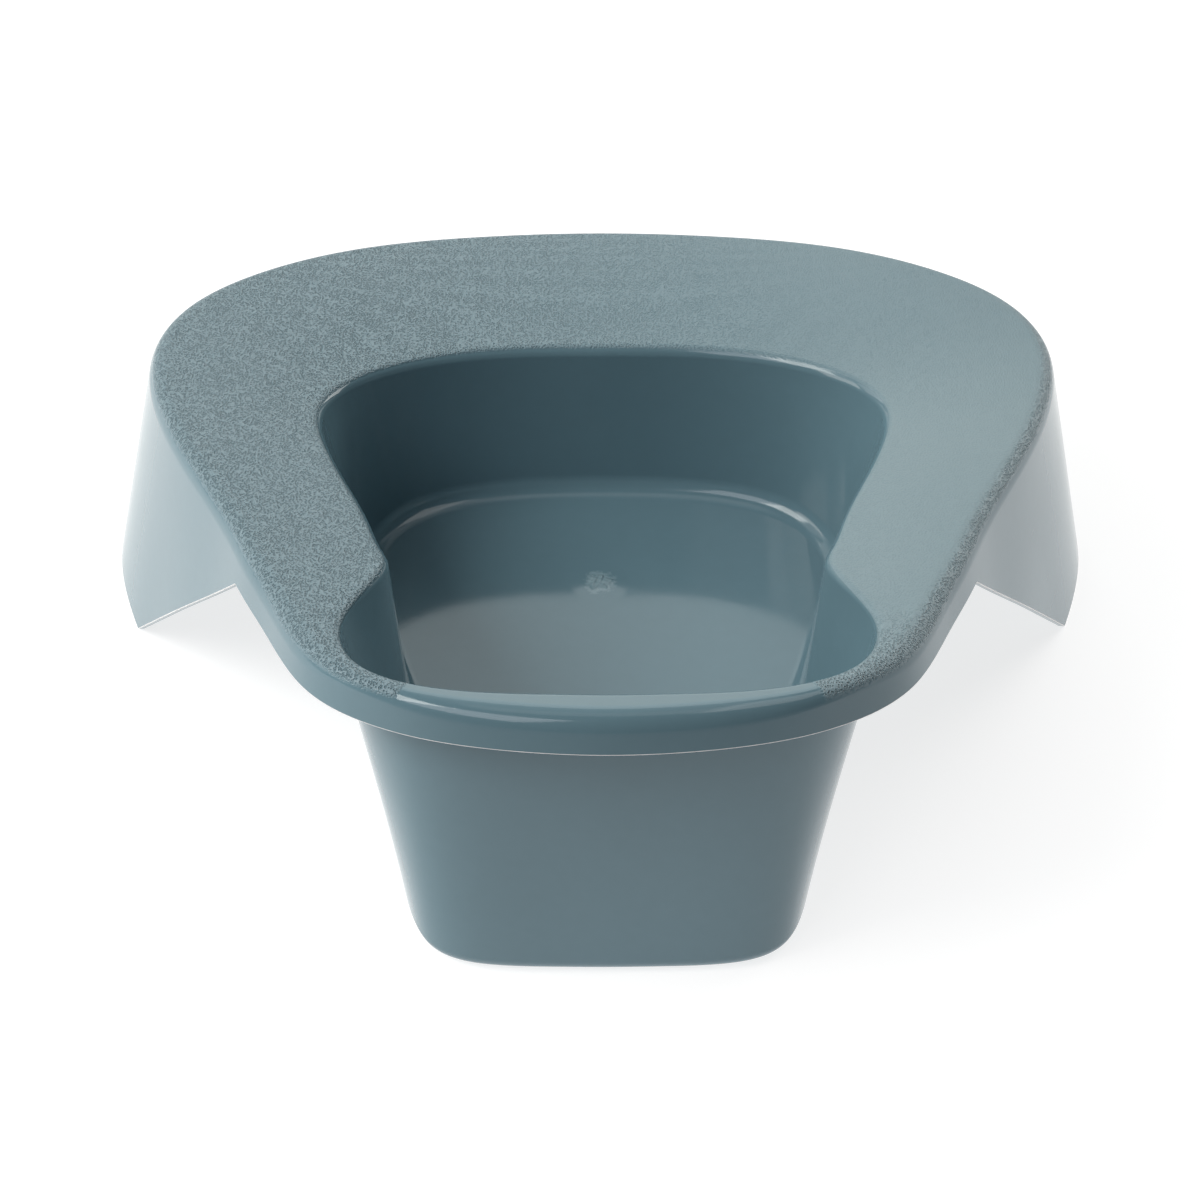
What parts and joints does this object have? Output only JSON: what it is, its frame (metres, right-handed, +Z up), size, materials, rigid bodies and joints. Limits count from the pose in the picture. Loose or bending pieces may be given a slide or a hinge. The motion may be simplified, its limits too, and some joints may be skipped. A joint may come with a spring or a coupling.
{
  "type": "bedpan",
  "caption": "Wide plastic bedpan with a sloping dished seat, a deep waisted bowl, a narrow raised front lip and a flared skirt whose slanted side wings reach the ground.",
  "frame": {"origin": "middle of the footprint, on the ground", "axes": "+Z up, -Y towards the narrow front lip, +Y towards the wide back of the seat, +X to the right when looking along +Y"},
  "size_m": [0.4014, 0.4082, 0.1356],
  "materials": {
    "grained_seat": "fine moulded stipple grain, satin",
    "smooth_shell": "smooth as moulded, semi-gloss"
  },
  "bodies": {
    "root": {"bowl_floor": "smooth_shell", "bowl_rear_wall": "smooth_shell", "bowl_front_wall": "smooth_shell", "seat_deck": "grained_seat", "front_lip": "smooth_shell", "rear_skirt": "smooth_shell", "right_wing": "smooth_shell", "left_wing": "smooth_shell", "right_apron": "smooth_shell", "left_apron": "smooth_shell"}
  },
  "joints": []
}
